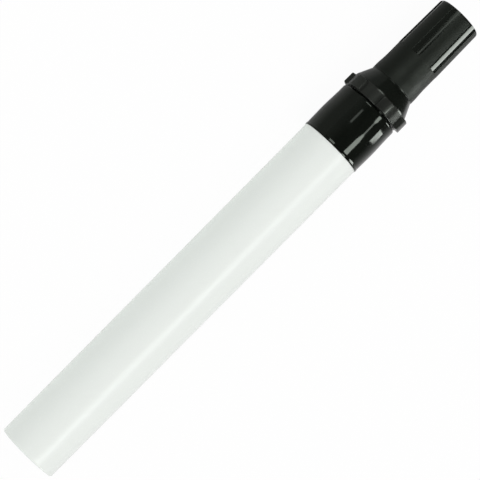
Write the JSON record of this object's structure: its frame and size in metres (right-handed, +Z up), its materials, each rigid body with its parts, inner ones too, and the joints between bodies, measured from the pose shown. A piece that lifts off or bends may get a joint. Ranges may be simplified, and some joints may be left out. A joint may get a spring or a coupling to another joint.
{
  "type": "liquid chalk marker",
  "caption": "Liquid chalk marker: plain tubular barrel with a valve-fed bullet nib, a coupling collar and a pull-off cap with anti-roll lugs and grip flutes.",
  "frame": {"origin": "centre of the flat closed end of the barrel, on the marker's axis", "axes": "+X along the marker's axis towards the cap, +Z up, with the marker lying on two lugs of its cap; Y runs across it"},
  "size_m": [0.14, 0.0172, 0.0162],
  "materials": {
    "white_plastic": "smooth moulded, semi-gloss",
    "black_plastic": "polished",
    "holder_plastic": "smooth moulded",
    "cap_plastic": "polished mouth, satin grip",
    "inner_cap_plastic": "soft, waxy",
    "valve_plastic": "natural, waxy",
    "seal_rubber": "smooth",
    "spring_steel": "drawn wire",
    "ball_steel": "polished",
    "nib_fibre": "pressed fibre"
  },
  "bodies": {
    "root": {"barrel": "white_plastic", "collar": "black_plastic", "nib_holder": "holder_plastic", "neck_gasket": "seal_rubber", "valve_body": "valve_plastic", "valve_cage": "valve_plastic", "valve_spring": "spring_steel"},
    "cap": {"cap": "cap_plastic", "inner_cap": "inner_cap_plastic"},
    "nib": {"nib": "nib_fibre"},
    "valve_stem": {"valve_stem": "valve_plastic", "stem_seal": "seal_rubber"},
    "mixing_ball_1": {"mixing_ball_1": "ball_steel"},
    "mixing_ball_2": {"mixing_ball_2": "ball_steel"}
  },
  "joints": [
    {"name": "cap_pull", "type": "slide", "parent": "root", "child": "cap", "axis": [1, 0, 0], "range_m": [0, 0.03]},
    {"name": "nib_press", "type": "slide", "parent": "root", "child": "nib", "axis": [-1, 0, 0], "range_m": [0, 0.0018]},
    {"name": "valve_open", "type": "slide", "parent": "root", "child": "valve_stem", "axis": [-1, 0, 0], "range_m": [0, 0.0018], "stiffness_N_per_m": 500, "springref_m": -0.004, "deforming": ["valve_spring"]},
    {"name": "mixing_ball_1_roll", "type": "slide", "parent": "root", "child": "mixing_ball_1", "axis": [1, 0, 0], "range_m": [0, 0.0891]},
    {"name": "mixing_ball_2_roll", "type": "slide", "parent": "root", "child": "mixing_ball_2", "axis": [1, 0, 0], "range_m": [0, 0.0891]}
  ],
  "couplings": [
    {"joint": "valve_open", "follows": "nib_press", "ratio": 1}
  ]
}
